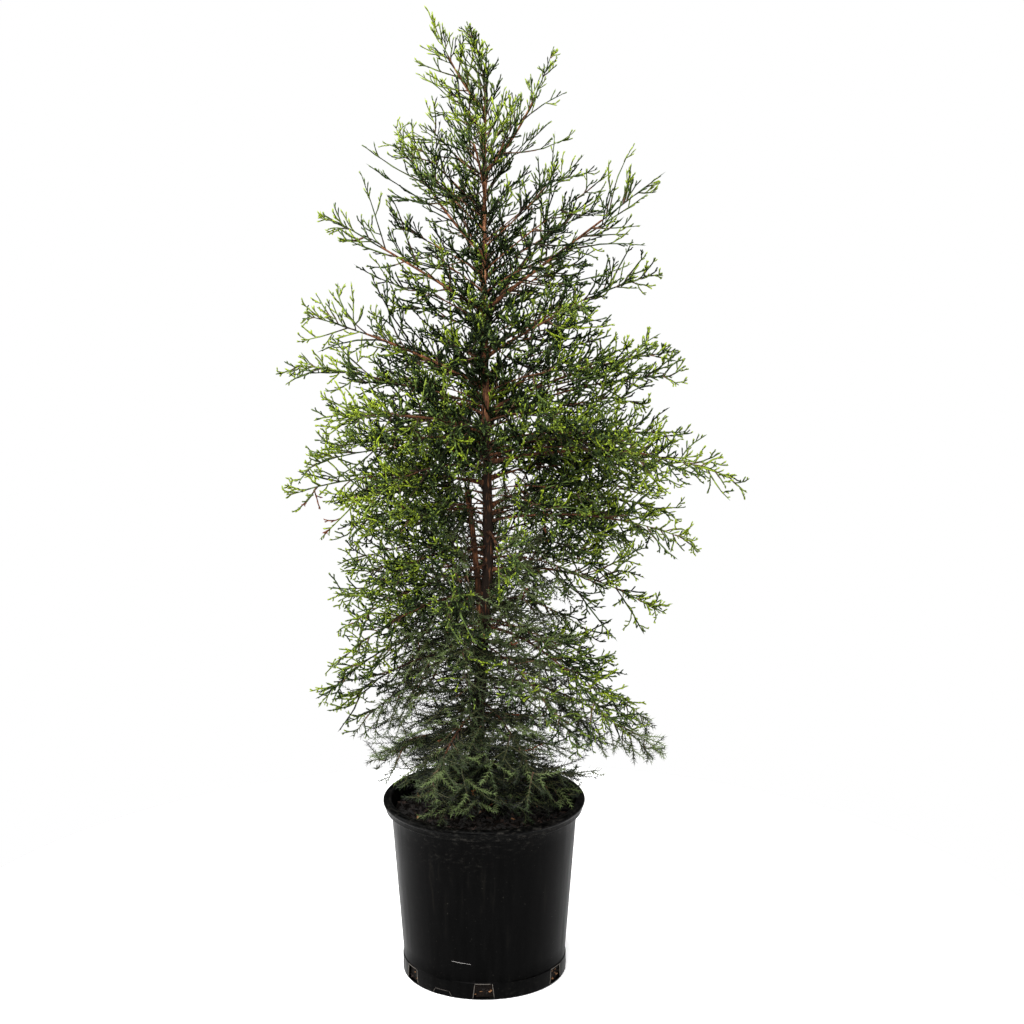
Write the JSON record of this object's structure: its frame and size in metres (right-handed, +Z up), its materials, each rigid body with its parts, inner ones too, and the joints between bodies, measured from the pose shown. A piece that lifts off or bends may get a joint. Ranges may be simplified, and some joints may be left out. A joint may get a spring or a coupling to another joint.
{
  "type": "potted eastern red cedar",
  "caption": "Young conical conifer with airy scale-leaf and needle foliage on upswept and drooping boughs, growing in bark mix in a round black nursery pot with a rolled rim.",
  "frame": {"origin": "centre of the pot's flat underside", "axes": "+Z up along the pot's axis and the trunk, +X to the right seen from the front, -Y towards the front"},
  "size_m": [0.6169, 0.5586, 1.3392],
  "materials": {
    "pot_plastic": "satin, scuffed",
    "potting_mix": "rough crumbly bark mix",
    "bark": "rough, shredding in long strips",
    "foliage": "matt scale leaves and needles"
  },
  "bodies": {
    "root": {"pot": "pot_plastic", "soil": "potting_mix", "trunk": "bark", "bough_01": "bark", "bough_02": "bark", "bough_03": "bark", "bough_04": "bark", "bough_05": "bark", "bough_06": "bark", "bough_07": "bark", "bough_08": "bark", "bough_09": "bark", "bough_10": "bark", "bough_11": "bark", "bough_12": "bark", "bough_13": "bark", "bough_14": "bark", "bough_15": "bark", "bough_16": "bark", "bough_17": "bark", "bough_18": "bark", "bough_19": "bark", "bough_20": "bark", "bough_21": "bark", "bough_22": "bark", "bough_23": "bark", "bough_24": "bark", "bough_25": "bark", "bough_26": "bark", "second_stem": "bark", "foliage_01": "foliage", "foliage_02": "foliage", "foliage_03": "foliage", "foliage_04": "foliage", "foliage_05": "foliage", "foliage_06": "foliage", "foliage_07": "foliage", "foliage_08": "foliage", "foliage_09": "foliage", "foliage_10": "foliage", "foliage_11": "foliage", "foliage_12": "foliage", "foliage_13": "foliage", "foliage_14": "foliage", "foliage_15": "foliage", "foliage_16": "foliage", "foliage_17": "foliage", "foliage_18": "foliage", "foliage_19": "foliage", "foliage_20": "foliage", "foliage_21": "foliage", "foliage_22": "foliage", "foliage_23": "foliage", "foliage_24": "foliage", "foliage_25": "foliage", "foliage_26": "foliage", "foliage_second_stem": "foliage", "foliage_leader": "foliage"}
  },
  "joints": []
}
